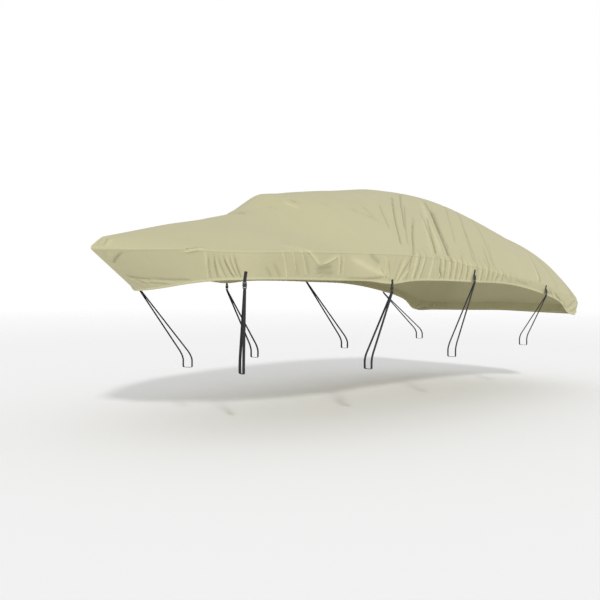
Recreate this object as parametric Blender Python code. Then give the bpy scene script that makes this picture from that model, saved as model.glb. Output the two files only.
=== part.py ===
"""Fitted cover for a small open boat, hanging in the shape it takes over the hull and windscreen.

Three cloth panels are sewn together: a top panel from bow to stern, and a skirt down each side from the
stem to the middle of the stern. Eight webbing straps hang from buckles on tabs above the hem.
The bow points to -X, port is -Y and +Z is up. The origin is the point under the middle of the top where
the cover is held up. The tables below measure aft from the bow tip and up from the hem's level amidships.
"""
import math

import bmesh
import bpy
import numpy as np

# Driving dimensions, in metres
LENGTH = 5.94             # bow tip to stern
HALF_BEAM = 1.15          # centreline to gunwale, at the widest
STERN_HALF_BEAM = 1.14
BOW_LENGTH = 2.60         # from the bow tip to where the sides run straight
BOW_BLUFFNESS = 2.56      # a higher power makes a fuller bow
QUARTER_RADIUS = 0.30     # rounded corner between side and stern
STEM_RAKE = 0.416         # how far aft of the bow tip the hem starts
STEM_RAKE_REACH = 1.00    # the rake has died out this far aft
STEM_RAKE_CURVE = 1.6     # powers that shape how the rake and the narrowing of the hem die out
STEM_NARROW_CURVE = 1.2
HEM_HALF_SHARE = 0.99     # half-breadth of the hem, as a share of the gunwale's
STEM_NARROWING = 0.36     # and how much of it is lost at the stem
HEM_TUCK = 0.030          # the hem draws in under the gunwale
TUCK_CURVE = 1.5
TUCK_FULL_HALF = 0.50     # the tuck is full where the cover is at least this wide
SPINE_START = 0.12        # the ribs of the top panel fan from here round the bow
SPINE_END = 4.90          # and from here round the stern
FAN_SLOPE_LIMIT = 0.8
SCREEN_SWEEP = 0.34       # the windscreen under the cloth sweeps this far aft for each metre out
SWEEP_PLACES = (1.20, 1.55, 1.95, 2.70)   # where the sweep starts, is full, is full no more, and ends
HOLDING_POINT = 3.00      # aft of the bow tip: the origin lies under the top here
CLOTH = 0.0025
SEAM_GAP = 0.0004
CONTACT_GAP = 0.0003
MITRE_LIMIT = 0.6         # how far a mitred normal may be lengthened: one over this

WEBBING_WIDTH = 0.025
WEBBING = 0.0018
TAB_OVERHANG = 0.014      # the tab reaches this far below where it leaves the cloth
STRAND_SPREAD = 0.0055    # between the two layers of webbing at a buckle
BUCKLE_STANDOFF = 0.009   # a buckle that hangs in front of the skirt stands this far off it
STRAIGHT_END = 0.008      # the webbing leaves the buckle straight down for this far
LOOP_WIDTH = 0.092        # the loop's foot is shaped by a beam of this width and height
LOOP_HEIGHT = 0.100
LOOP_CORNER = 0.012

# Along the gunwale. run is the distance aft, carried on round the quarter to the middle of the stern.
SECTIONS = np.array((
    # run   gunwale_up  hem_up  fullness
    (0.00,    0.245,    -0.086,   1.30),
    (0.12,    0.240,    -0.080,   1.35),
    (0.30,    0.238,    -0.060,   1.40),
    (0.50,    0.240,    -0.030,   1.40),
    (0.70,    0.228,    -0.008,   1.40),
    (0.92,    0.222,     0.000,   1.40),
    (1.20,    0.226,     0.002,   1.45),
    (1.60,    0.228,    -0.004,   1.65),
    (2.00,    0.228,    -0.012,   2.05),
    (2.28,    0.226,    -0.034,   2.20),
    (2.55,    0.220,    -0.012,   2.20),
    (3.00,    0.195,    -0.008,   2.20),
    (3.55,    0.130,    -0.022,   2.20),
    (4.20,    0.055,    -0.046,   2.40),
    (4.93,   -0.030,    -0.152,   2.50),
    (5.20,   -0.085,    -0.212,   2.50),
    (5.38,   -0.130,    -0.278,   2.55),
    (5.50,   -0.165,    -0.368,   2.70),
    (5.62,   -0.205,    -0.400,   2.90),
    (5.90,   -0.262,    -0.404,   2.50),
    (6.20,   -0.268,    -0.400,   2.00),
    (6.90,   -0.252,    -0.385,   1.90),
))
GUNWALE_UP, HEM_UP, FULLNESS = 1, 2, 3

SPINE = np.array((
    # aft    up
    (0.12,  0.335),
    (0.30,  0.372),
    (0.70,  0.455),
    (1.15,  0.533),
    (1.40,  0.594),
    (1.78,  0.782),
    (2.10,  0.826),
    (2.60,  0.880),
    (3.10,  0.925),
    (3.60,  0.930),
    (4.10,  0.860),
    (4.50,  0.755),
    (4.90,  0.640),
))

# Creases and pleats. level is 1 on the spine, 0 on the gunwale and -1 on the hem. A positive depth sinks.
PORT_FOLDS = np.array((
    # run_a  level_a  run_b  level_b  width   depth
    (0.17,   -0.08,   0.05,   -0.36,  0.030,  0.006),
    (0.52,   -0.10,   0.64,    0.00,  0.030,  0.008),
    (0.64,    0.02,   0.65,   -0.90,  0.012, -0.006),
    (0.66,   -0.10,   0.71,   -0.95,  0.014,  0.008),
    (0.70,   -0.08,   0.76,   -0.95,  0.014,  0.007),
    (0.75,   -0.08,   0.82,   -0.95,  0.014,  0.009),
    (0.80,   -0.08,   0.88,   -0.95,  0.014,  0.008),
    (1.16,   -0.04,   1.21,   -0.95,  0.018, -0.010),
    (1.23,    0.00,   1.26,   -0.60,  0.014, -0.007),
    (1.31,    0.00,   1.36,   -0.90,  0.018, -0.012),
    (1.36,    0.03,   1.51,   -0.50,  0.024,  0.012),
    (1.51,   -0.50,   1.63,   -0.18,  0.022,  0.010),
    (1.62,   -0.15,   1.67,   -0.90,  0.020, -0.012),
    (1.95,   -0.20,   2.27,   -0.95,  0.040,  0.012),
    (2.14,   -0.06,   2.28,   -0.95,  0.022, -0.010),
    (2.48,    0.00,   2.30,   -0.95,  0.024,  0.014),
    (2.60,   -0.10,   2.36,   -0.95,  0.020, -0.009),
    (2.62,    0.44,   2.42,    0.18,  0.030,  0.010),
    (3.00,    0.58,   2.52,    0.12,  0.030,  0.012),
    (3.22,    0.62,   2.56,    0.04,  0.026,  0.012),
    (2.88,    0.26,   2.51,    0.00,  0.026,  0.010),
    (3.90,    0.78,   3.07,    0.00,  0.045,  0.030),
    (3.45,    0.50,   2.93,    0.00,  0.035,  0.016),
    (4.19,    0.55,   3.64,    0.02,  0.035,  0.012),
    (5.30,    0.62,   4.87,   -0.25,  0.040,  0.016),
))
STARBOARD_FOLDS = np.array((
    # run_a  level_a  run_b  level_b  width   depth
    (0.60,   -0.05,   0.72,   -0.90,  0.030,  0.009),
    (0.84,   -0.05,   0.90,   -0.95,  0.022, -0.009),
    (1.40,    0.00,   1.48,   -0.90,  0.024,  0.010),
    (1.78,   -0.02,   1.72,   -0.85,  0.024, -0.010),
    (2.10,   -0.05,   2.25,   -0.95,  0.035,  0.012),
    (2.46,    0.00,   2.31,   -0.95,  0.030,  0.012),
    (3.05,    0.55,   2.60,    0.05,  0.035,  0.012),
    (3.80,    0.75,   3.15,    0.00,  0.045,  0.026),
    (4.25,    0.55,   3.72,    0.02,  0.040,  0.014),
    (5.20,    0.60,   4.80,   -0.20,  0.040,  0.014),
))

# The loose cloth aft is gathered into the hem: uneven upright pleats between these runs.
GATHER_START = 2.66
GATHER_END = 4.50
GATHER_PITCH = 0.072
GATHER_DEPTH = 0.009
GATHER_WIDTH = 0.016
GATHER_TOP = -0.02        # a pleat starts from this level up to GATHER_RISE higher
GATHER_RISE = 0.25
GATHER_FOOT = -0.92
GATHER_LEAN = 0.012

# Shape of one crease
CREASE_FADE = 0.06        # a crease fades in and out over this length at its ends
LIP_HEIGHT = 0.45         # the low lip beside a trough, as a share of the trough's depth
LIP_OFFSET = 1.9          # and its place, in widths of the trough
TAB_CALM = 0.022          # folds fade out this near to a sewn tab

# Straps, the same on both sides. run is where the tab is sewn, the foot is the loop's lowest part, and
# beam_turn is how many degrees the foot turns out towards the stern. The tab starts at the level tab_top
# of the skirt and leaves the cloth this far above the hem.
STRAPS = (
    # run   foot_aft  foot_out  foot_up  beam_turn  tab_top  leaves_up
    (0.92,   1.19,     0.412,   -0.782,    21.0,     -0.70,    0.000),
    (2.28,   2.36,     0.810,   -0.800,     8.0,     -0.85,    0.000),
    (3.52,   3.73,     0.780,   -0.784,     0.0,     -0.22,    0.076),
    (4.95,   5.17,     0.780,   -0.746,     0.0,     -0.20,    0.064),
)

# Mesh steps: (up to this run, spacing) for the top panel and, finer, for each skirt
TOP_STEPS = ((0.30, 0.06), (0.92, 0.10), (2.28, 0.125), (3.52, 0.07), (4.30, 0.07), (4.95, 0.12))
QUARTER_STEPS = (0.12, 0.067, 0.19)     # spacing up to the quarter, round it, and across the stern
PORT_STEPS = ((0.60, 0.06), (0.95, 0.024), (1.10, 0.06), (1.72, 0.032), (2.10, 0.08), (2.66, 0.036),
              (4.40, 0.028), (5.20, 0.10), (5.70, 0.05), (7.00, 0.19))
STARBOARD_STEPS = ((0.60, 0.08), (0.95, 0.05), (2.00, 0.08), (2.66, 0.05), (4.40, 0.040), (5.20, 0.19),
                   (5.70, 0.06), (7.00, 0.19))
TOP_LEVELS = (1.0, 0.86, 0.70, 0.54, 0.38, 0.24, 0.11, 0.0)
SKIRT_LEVELS = (0.0, -0.35, -0.70, -0.90, -1.0)
COLUMN_CLEARANCE = 0.008
HEM_TURN = 0.004          # the last strip of the hem turns in by this much

BUCKLE_THICKNESS = 0.009
BUCKLE_BEVEL = 0.0015
BUCKLE_OUTLINE = (
    # down   half_width
    (0.000, 0.0165),
    (0.012, 0.0175),
    (0.020, 0.0150),
    (0.027, 0.0185),
    (0.035, 0.0180),
    (0.042, 0.0155),
    (0.054, 0.0165),
)


def column_at(table, column, at):
    """Smooth curve through one column of a table whose first column is the place along the boat."""
    places = table[:, 0]
    values = table[:, column]
    slopes = np.gradient(values, places)
    at = np.clip(at, places[0], places[-1])
    left = np.clip(np.searchsorted(places, at, side="right") - 1, 0, len(places) - 2)
    step = places[left + 1] - places[left]
    part = (at - places[left]) / step
    rise = values[left + 1] - values[left]
    ease = part * part * (3 - 2 * part)
    bend_in = part * (1 - part) ** 2
    bend_out = -part * part * (1 - part)
    return values[left] + rise * ease + step * (slopes[left] * bend_in + slopes[left + 1] * bend_out)


def half_beam_at(aft):
    """Half-breadth of the sides, before the quarter rounds them off."""
    bow = 1 - np.clip(1 - aft / BOW_LENGTH, 0, 1) ** BOW_BLUFFNESS
    stern = np.clip((aft - BOW_LENGTH) / (LENGTH - BOW_LENGTH), 0, 1) ** 2
    return HALF_BEAM * bow - (HALF_BEAM - STERN_HALF_BEAM) * stern


QUARTER_START = LENGTH - QUARTER_RADIUS
QUARTER_RUN = QUARTER_RADIUS * math.pi / 2
QUARTER_HALF = float(half_beam_at(QUARTER_START))
RUN_END = QUARTER_START + QUARTER_RUN + QUARTER_HALF - QUARTER_RADIUS


def gunwale_plan(run):
    """Aft and half-breadth of the gunwale: side, then quarter, then straight across the stern."""
    along = np.minimum(run, QUARTER_START)
    turn = np.clip((run - QUARTER_START) / QUARTER_RADIUS, 0, math.pi / 2)
    across = np.clip(run - QUARTER_START - QUARTER_RUN, 0, None)
    aft = along + QUARTER_RADIUS * np.sin(turn)
    half = half_beam_at(along) - QUARTER_RADIUS * (1 - np.cos(turn)) - across
    return aft, half


def swept_back(foot, out):
    """Place on the spine whose height a point takes that lies this far out from it."""
    share = np.interp(foot, SWEEP_PLACES, (0.0, 1.0, 1.0, 0.0))
    return foot - SCREEN_SWEEP * out * share


def base_surface(run, levels, side):
    """Unfolded cloth as rows (levels) by columns (runs). Ribs rise from the gunwale to the spine, and
    the skirt falls from the gunwale to the hem. Ribs that fan round an end leave at the spine's slope."""
    aft, half = gunwale_plan(run)
    half[run >= RUN_END - 1e-6] = 0.0
    gunwale_up = column_at(SECTIONS, GUNWALE_UP, run)
    hem_up = column_at(SECTIONS, HEM_UP, run)
    fullness = column_at(SECTIONS, FULLNESS, run)
    foot = np.clip(aft, SPINE_START, SPINE_END)
    spine_up = column_at(SPINE, 1, foot)
    spine_slope = np.interp(foot, SPINE[:, 0], np.gradient(SPINE[:, 1], SPINE[:, 0]))
    fan_slope = np.clip(-spine_slope * (aft - foot) / (spine_up - gunwale_up), 0, FAN_SLOPE_LIMIT)
    raked = np.clip(1 - aft / STEM_RAKE_REACH, 0, 1)
    hem_aft = aft + STEM_RAKE * raked ** STEM_RAKE_CURVE
    hem_half = half * (HEM_HALF_SHARE - STEM_NARROWING * raked ** STEM_NARROW_CURVE)
    draw_in = HEM_TUCK * np.clip(half / TUCK_FULL_HALF, 0, 1) * (1 - raked)
    stern_draw_in = HEM_TUCK * np.clip((run - QUARTER_START) / QUARTER_RUN, 0, 1)
    rows = []
    for level in levels:
        if level >= 0:
            x = aft + (foot - aft) * level
            y = half * (1 - level)
            rise = (1 - fan_slope) * (1 - (1 - level) ** fullness) + fan_slope * level
            screen_up = column_at(SPINE, 1, swept_back(foot, y))
            z = gunwale_up + (screen_up - gunwale_up) * rise
        else:
            drop = -level
            turned = HEM_TURN if level <= -1 else 0.0
            x = aft + (hem_aft - aft) * drop - stern_draw_in * drop
            y = half + (hem_half - half) * drop - np.minimum(draw_in * drop ** TUCK_CURVE + turned, half)
            z = gunwale_up + (hem_up - gunwale_up) * drop
        rows.append(np.stack((x, side * y, z), axis=-1))
    return np.array(rows)


def unit(vectors):
    return vectors / np.maximum(np.linalg.norm(vectors, axis=-1, keepdims=True), 1e-12)


def sheet_normals(grid, side):
    """Outward unit normals of a grid whose rows go down and whose columns go aft."""
    down = np.gradient(grid, axis=0)
    aft = np.gradient(grid, axis=1)
    return unit(np.cross(aft, down) * side)


def cover_normals(points, gunwale_row, side):
    """Normals of one side of the cover. On the gunwale, stem and stern lines they lie on the mitre
    between the two panels, and are lengthened so that the cloth keeps its thickness there."""
    top = sheet_normals(points[:gunwale_row + 1], side)
    skirt = sheet_normals(points[gunwale_row:], side)
    mitre = unit(top[-1] + skirt[0])
    mitre = mitre / np.maximum((mitre * top[-1]).sum(-1, keepdims=True), MITRE_LIMIT)
    normals = np.concatenate((top[:-1], mitre[None], skirt[1:]))
    for column in (0, -1):
        flat = normals[:, column].copy()
        flat[:, 1] = 0.0
        flat = unit(flat)
        lean = (flat * unit(normals[:, column])).sum(-1, keepdims=True)
        normals[:, column] = flat / np.maximum(lean, MITRE_LIMIT)
    slope = np.gradient(column_at(SPINE, 1, SPINE[:, 0]), SPINE[:, 0])
    rise = np.interp(points[0, :, 0], SPINE[:, 0], slope)
    normals[0] = unit(np.stack((-rise, 0 * rise, 1 + 0 * rise), axis=-1))
    return normals


def gather_rows():
    """Fold rows for the uneven pleats that gather the skirt aft."""
    rows = []
    place = GATHER_START
    count = 0
    while place < GATHER_END:
        # slow sines out of step with each other keep height, lean, depth and spacing uneven
        top = GATHER_TOP + GATHER_RISE * math.sin(count * 2.4) ** 2
        lean = GATHER_LEAN * math.sin(count * 1.7)
        depth = GATHER_DEPTH * (0.75 + 0.35 * math.sin(count * 3.1))
        rows.append((place + lean, top, place, GATHER_FOOT, GATHER_WIDTH, depth))
        place += GATHER_PITCH * (1 + 0.30 * math.sin(count * 2.0))
        count += 1
    return np.array(rows)


def fold_depth(run, levels, heights, folds):
    """How far the folds sink the cloth. A fold is a soft trough along a line, with a low lip beside it."""
    level = np.array(levels)[:, None]
    upper = np.where(level >= 0, level * heights[0], level * heights[1])
    depth = np.zeros((len(levels), len(run)))
    for run_a, level_a, run_b, level_b, width, sink in folds:
        up_a = level_a * (np.interp(run_a, run, heights[0 if level_a >= 0 else 1]))
        up_b = level_b * (np.interp(run_b, run, heights[0 if level_b >= 0 else 1]))
        length = math.hypot(run_b - run_a, up_b - up_a)
        ahead = ((run[None] - run_a) * (run_b - run_a) + (upper - up_a) * (up_b - up_a)) / length ** 2
        aside = ((run[None] - run_a) * (up_b - up_a) - (upper - up_a) * (run_b - run_a)) / length
        end = np.clip(np.minimum(ahead, 1 - ahead) * length / CREASE_FADE + 0.5, 0, 1)
        end = end * end * (3 - 2 * end)
        trough = np.exp(-(aside / width) ** 2)
        lip = LIP_HEIGHT * np.exp(-(aside / width - LIP_OFFSET) ** 2)
        depth += sink * end * (trough - lip)
    return depth


def still_near_tabs(run, depth):
    """The sewn tabs hold the cloth flat: folds fade within a few centimetres of them."""
    calm = np.ones_like(run)
    for strap in STRAPS:
        calm *= 1 - np.exp(-((run - strap[0]) / TAB_CALM) ** 4)
    return depth * calm


def spacing_at(steps, run):
    for end, spacing in steps:
        if run <= end:
            return spacing
    return steps[-1][1]


def split_runs(coarse, steps, needed):
    """Mesh columns: each gap between the coarse places is split evenly to the wanted spacing. The needed
    places come in exactly, and push out any split that lies too near them."""
    runs = [float(coarse[0])]
    for start, end in zip(coarse[:-1], coarse[1:]):
        count = max(1, round((end - start) / spacing_at(steps, (start + end) / 2)))
        runs.extend(start + (end - start) * i / count for i in range(1, count))
        runs.append(float(end))
    fixed = set(float(c) for c in coarse) | set(needed)
    kept = [r for r in runs if r in fixed or all(abs(r - n) > COLUMN_CLEARANCE for n in needed)]
    return np.array(sorted(set(kept) | set(needed)))


def top_runs():
    """Places of the top panel's columns, with one at each strap."""
    steps = TOP_STEPS + tuple(zip((QUARTER_START, QUARTER_START + QUARTER_RUN, RUN_END), QUARTER_STEPS))
    return split_runs([0.0] + [end for end, spacing in steps], steps, ())


TOP_RUNS = top_runs()


def tab_runs():
    return [strap[0] + offset for strap in STRAPS for offset in (-WEBBING_WIDTH / 2, 0.0, WEBBING_WIDTH / 2)]


def side_cloth(side):
    """One side of the cover as outer and inner points, on the skirt's finer columns."""
    port = side < 0
    steps = PORT_STEPS if port else STARBOARD_STEPS
    folds = PORT_FOLDS if port else STARBOARD_FOLDS
    run = split_runs(TOP_RUNS, steps, tab_runs())
    levels = TOP_LEVELS + SKIRT_LEVELS[1:]
    gunwale_row = len(TOP_LEVELS) - 1
    base = base_surface(run, levels, side)
    normals = cover_normals(base, gunwale_row, side)
    rib = np.linalg.norm(np.diff(base[:gunwale_row + 1], axis=0), axis=-1).sum(0)
    drop = np.linalg.norm(np.diff(base[gunwale_row:], axis=0), axis=-1).sum(0)
    depth = fold_depth(run, levels, (rib, drop), np.concatenate((folds, gather_rows())))
    depth = still_near_tabs(run, depth)
    depth[:, 0] = 0.0
    depth[:, -1] = 0.0
    depth[0] = 0.0
    outer = base - normals * depth[..., None]
    normals = cover_normals(outer, gunwale_row, side)
    inner = outer - normals * CLOTH
    on_top = np.isin(run, TOP_RUNS)
    for grid in (outer, inner):
        for axis in range(3):
            grid[gunwale_row, :, axis] = np.interp(run, run[on_top], grid[gunwale_row, on_top, axis])
    return {"run": run, "outer": outer, "inner": inner, "normals": normals,
            "on_top": on_top, "gunwale_row": gunwale_row, "side": side}


def placed(points):
    """From bow-tip measure to the cover's own frame."""
    crown = float(column_at(SPINE, 1, np.array([HOLDING_POINT]))[0])
    return points - np.array((HOLDING_POINT, 0.0, crown - CLOTH))


def shell(name, patches, material):
    """Closed thin solid from grids of outer and inner points. Points that meet are welded, and the free
    edges are closed with a rim."""
    index = {}
    outer_points = []
    inner_points = []
    faces = []

    def number(point, under):
        key = tuple(np.round(point, 6))
        if key not in index:
            index[key] = len(outer_points)
            outer_points.append(point)
            inner_points.append(under)
        return index[key]

    for outer, inner, flip in patches:
        rows, columns = outer.shape[:2]
        ids = [[number(outer[r, c], inner[r, c]) for c in range(columns)] for r in range(rows)]
        for r in range(rows - 1):
            for c in range(columns - 1):
                a, b, d, e = ids[r][c], ids[r][c + 1], ids[r + 1][c + 1], ids[r + 1][c]
                for face in ((a, b, d), (a, d, e)):
                    if len(set(face)) == 3:
                        faces.append(face[::-1] if flip else face)
    total = len(outer_points)
    edges = {}
    for face in faces:
        for i in range(3):
            edges[(face[i], face[(i + 1) % 3])] = True
    rim = [(a, b) for a, b in edges if (b, a) not in edges]
    inside = [(c + total, b + total, a + total) for a, b, c in faces]
    walls = [face for a, b in rim for face in ((b, a, a + total), (b, a + total, b + total))]
    return add_solid(name, outer_points + inner_points, faces + inside + walls, material)


def add_solid(name, points, faces, material):
    mesh = bpy.data.meshes.new(name)
    mesh.from_pydata([tuple(float(v) for v in point) for point in points], [], faces)
    shape = bmesh.new()
    shape.from_mesh(mesh)
    bmesh.ops.recalc_face_normals(shape, faces=shape.faces)
    shape.to_mesh(mesh)
    shape.free()
    mesh.materials.append(material)
    mesh.shade_smooth()
    mesh.set_sharp_from_angle(angle=math.radians(40))
    thing = bpy.data.objects.new(name, mesh)
    bpy.context.collection.objects.link(thing)
    return thing


def make_top_panel(sides, material):
    patches = []
    for cloth in sides:
        rows = slice(0, cloth["gunwale_row"] + 1)
        outer = placed(cloth["outer"][rows][:, cloth["on_top"]])
        inner = placed(cloth["inner"][rows][:, cloth["on_top"]])
        patches.append((outer, inner, cloth["side"] > 0))
    return shell("top_panel", patches, material)


def make_skirt(name, cloth, material):
    """Skirt of one side. Its seams stop just short of the top panel and of the other skirt."""
    side = cloth["side"]
    row = cloth["gunwale_row"]
    grids = []
    for key in ("outer", "inner"):
        grid = cloth[key][row:].copy()
        grid[0] += SEAM_GAP * unit(grid[1] - grid[0])
        for column in (0, -1):
            grid[:, column, 1] += side * CONTACT_GAP / 2
        grids.append(placed(grid))
    return shell(name, [(grids[0], grids[1], side > 0)], material)


def skirt_rows(grid, levels):
    """Rows of a skirt's grid at any levels, each between the two mesh rows beside it."""
    known = -np.array(SKIRT_LEVELS)
    places = np.interp(-np.array(levels), known, np.arange(len(known)))
    above = np.minimum(places.astype(int), len(known) - 2)
    share = (places - above)[:, None, None]
    return grid[above] * (1 - share) + grid[above + 1] * share


def make_tab(name, cloth, strap, material):
    """Webbing sewn flat on the skirt, which leaves it at the hem or above. A tab that leaves it above the
    hem stands off, so that its buckle clears the cloth. Returns the frame at its lower end."""
    side = cloth["side"]
    middle = int(np.argmin(np.abs(cloth["run"] - strap[0])))
    place = (slice(cloth["gunwale_row"], None), slice(middle - 1, middle + 2))
    skirt = cloth["outer"][place]
    tab_top, leaves_up = strap[5:]
    tab_end = leaves_up / (skirt[0, 1, 2] - skirt[-1, 1, 2]) - 1
    levels = [tab_top] + [level for level in SKIRT_LEVELS if tab_end < level < tab_top] + [tab_end]
    surface = skirt_rows(skirt, levels)
    normals = skirt_rows(cloth["normals"][place], levels)
    level_out = unit(normals[-2] * np.array((1.0, 1.0, 0.0)))
    below = surface[-1] + level_out * (BUCKLE_STANDOFF if leaves_up else 0.0)
    below[:, 2] = surface[-1][:, 2].min() - TAB_OVERHANG
    surface = np.concatenate((surface, below[None]))
    normals = np.concatenate((normals[:-1], normals[-2:-1], level_out[None]))
    near = placed(surface + normals * CONTACT_GAP)
    far = placed(surface + normals * (CONTACT_GAP + WEBBING))
    shell(name, [(far, near, side > 0)], material)
    centre = (near[-1, 1] + far[-1, 1]) / 2
    across = unit(near[-1, 2] - near[-1, 0])
    return centre, across


def make_buckle(name, centre, across, side, material):
    """Flat buckle with pinched waists, hanging straight down from its tab."""
    down = np.array((0.0, 0.0, -1.0))
    across = unit(across - down * np.dot(across, down))
    out = np.cross(across, down) * side
    top = centre + down * CONTACT_GAP
    ring = [(w, d) for d, w in BUCKLE_OUTLINE] + [(-w, d) for d, w in reversed(BUCKLE_OUTLINE)]
    shape = bmesh.new()
    corners = []
    for w, d in ring:
        point = top + across * w + down * d - out * BUCKLE_THICKNESS / 2
        corners.append(shape.verts.new(point))
    face = shape.faces.new(corners)
    pulled = bmesh.ops.extrude_face_region(shape, geom=[face])
    moved = [item for item in pulled["geom"] if isinstance(item, bmesh.types.BMVert)]
    bmesh.ops.translate(shape, verts=moved, vec=out * BUCKLE_THICKNESS)
    bmesh.ops.recalc_face_normals(shape, faces=shape.faces)
    flat = [edge for edge in shape.edges if all(abs(np.dot(f.normal, out)) < 0.5 for f in edge.link_faces)]
    rims = [edge for edge in shape.edges if edge not in flat]
    bmesh.ops.bevel(shape, geom=rims, offset=BUCKLE_BEVEL, segments=1, affect="EDGES")
    mesh = bpy.data.meshes.new(name)
    shape.to_mesh(mesh)
    shape.free()
    mesh.materials.append(material)
    thing = bpy.data.objects.new(name, mesh)
    bpy.context.collection.objects.link(thing)
    return top + down * (BUCKLE_OUTLINE[-1][0] + CONTACT_GAP), out


def loop_route(start, out, strap, side):
    """Centre line of one strap: down the outer strand, round the foot and back up the inner strand."""
    foot_aft, foot_out, foot_up, beam_turn = strap[1:5]
    foot = placed(np.array((foot_aft, side * foot_out, foot_up)))
    turn = math.radians(beam_turn)
    inward = np.array((math.sin(turn), -side * math.cos(turn), 0.0))
    up = np.array((0.0, 0.0, 1.0))
    corner = LOOP_CORNER
    first = start + out * STRAND_SPREAD / 2
    leaving = first - up * STRAIGHT_END
    route = [first, leaving]
    outer_top = foot + up * LOOP_HEIGHT
    for part in (0.25, 0.5, 0.75):
        route.append(leaving + (outer_top - leaving) * part)
    route.append(outer_top)
    near_corner = foot + inward * corner + up * corner
    far_corner = foot + inward * (LOOP_WIDTH - corner) + up * corner
    for centre, angle in ((near_corner, 180.0), (far_corner, 270.0)):
        for step in range(4):
            a = math.radians(angle + 30 * step)
            route.append(centre + inward * corner * math.cos(a) + up * corner * math.sin(a))
    inner_top = foot + inward * LOOP_WIDTH + up * LOOP_HEIGHT
    route.append(inner_top)
    last = start - out * STRAND_SPREAD / 2
    arriving = last - up * STRAIGHT_END
    for part in (0.25, 0.5, 0.75, 1.0):
        route.append(inner_top + (arriving - inner_top) * part)
    route.append(last)
    along = np.array((math.cos(turn), side * math.sin(turn), 0.0))
    return np.array(route), along


def make_strap(name, route, along, material):
    """Flat webbing swept along its route, with its width held along the beam."""
    tangent = unit(np.gradient(route, axis=0))
    across = unit(along - tangent * (tangent * along).sum(-1, keepdims=True))
    thick = unit(np.cross(tangent, across))
    half_width = across * WEBBING_WIDTH / 2
    half_thick = thick * WEBBING / 2
    rings = np.stack((route + half_width + half_thick, route - half_width + half_thick,
                      route - half_width - half_thick, route + half_width - half_thick), axis=1)
    points = rings.reshape(-1, 3)
    faces = []
    for i in range(len(route) - 1):
        for j in range(4):
            a, b = 4 * i + j, 4 * i + (j + 1) % 4
            faces.extend(((a, b, b + 4), (a, b + 4, a + 4)))
    last = 4 * (len(route) - 1)
    faces.extend(((0, 2, 1), (0, 3, 2), (last, last + 1, last + 2), (last, last + 2, last + 3)))
    return add_solid(name, points, faces, material)


def plain_material(name, colour, roughness, metallic=0.0):
    material = bpy.data.materials.new(name)
    material.use_nodes = True
    shader = material.node_tree.nodes["Principled BSDF"]
    shader.inputs["Base Color"].default_value = (*colour, 1.0)
    shader.inputs["Roughness"].default_value = roughness
    shader.inputs["Metallic"].default_value = metallic
    return material


def main():
    for old in list(bpy.data.objects):
        bpy.data.objects.remove(old)
    cloth_finish = plain_material("sand_polyester", (0.60, 0.57, 0.36), 0.85)
    webbing_finish = plain_material("black_webbing", (0.02, 0.02, 0.022), 0.80)
    buckle_finish = plain_material("black_nylon", (0.03, 0.03, 0.032), 0.45)
    port = side_cloth(-1.0)
    starboard = side_cloth(1.0)
    make_top_panel((port, starboard), cloth_finish)
    for label, cloth in (("port", port), ("starboard", starboard)):
        side = cloth["side"]
        make_skirt(label + "_skirt", cloth, cloth_finish)
        for number, strap in enumerate(STRAPS, start=1):
            centre, across = make_tab(f"{label}_tab_{number}", cloth, strap, webbing_finish)
            start, out = make_buckle(f"{label}_buckle_{number}", centre, across, side, buckle_finish)
            route, along = loop_route(start, out, strap, side)
            make_strap(f"{label}_strap_{number}", route, along, webbing_finish)


main()
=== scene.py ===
import math

import bmesh
import bpy
import numpy as np
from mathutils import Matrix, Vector


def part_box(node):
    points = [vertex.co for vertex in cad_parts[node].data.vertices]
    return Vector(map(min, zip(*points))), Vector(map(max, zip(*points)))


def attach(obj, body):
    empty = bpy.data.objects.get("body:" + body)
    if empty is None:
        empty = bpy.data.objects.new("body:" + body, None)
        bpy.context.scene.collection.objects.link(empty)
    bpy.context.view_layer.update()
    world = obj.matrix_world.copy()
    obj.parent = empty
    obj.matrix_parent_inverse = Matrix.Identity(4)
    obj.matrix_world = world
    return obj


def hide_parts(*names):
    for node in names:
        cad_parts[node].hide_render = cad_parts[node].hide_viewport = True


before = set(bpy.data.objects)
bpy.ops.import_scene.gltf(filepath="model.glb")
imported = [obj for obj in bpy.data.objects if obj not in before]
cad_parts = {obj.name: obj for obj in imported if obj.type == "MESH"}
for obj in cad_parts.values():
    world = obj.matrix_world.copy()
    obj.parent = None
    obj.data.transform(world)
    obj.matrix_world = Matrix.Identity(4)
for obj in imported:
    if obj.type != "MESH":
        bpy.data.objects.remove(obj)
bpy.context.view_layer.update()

print("frame loaded:", len(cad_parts), "nodes")

# ---- the form of the cover, in metres aft of the bow tip and up from the hem's level amidships
cover = {
    "halfBeam": 1.15,
    "sternHalfBeam": 1.14,
    "bowLength": 2.60,
    "bowBluffness": 2.56,
    "quarterRadius": 0.30,
    "stemRake": 0.416,
    "stemRakeReach": 1.00,
    "stemRakeCurve": 1.6,
    "stemNarrowCurve": 1.2,
    "hemHalfShare": 0.99,
    "stemNarrowing": 0.36,
    "hemTuck": 0.030,
    "tuckCurve": 1.5,
    "tuckFullHalf": 0.50,
    "spineStart": 0.12,
    "spineEnd": 4.90,
    "fanSlopeLimit": 0.8,
    "screenSweep": 0.34,       # the windscreen's edge lies further aft by this share of its distance out
    "sweepPlaces": (1.20, 1.55, 1.95, 2.70),
    "cloth": 0.0025,
    "edgePlaces": (0.0, 0.3, 2.4, 3.6, 4.5, 5.2, 7.0),
    "edgeRounding": (0.020, 0.007, 0.007, 0.010, 0.026, 0.034, 0.030),
    "edgeReach": 0.045,
}
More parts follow.
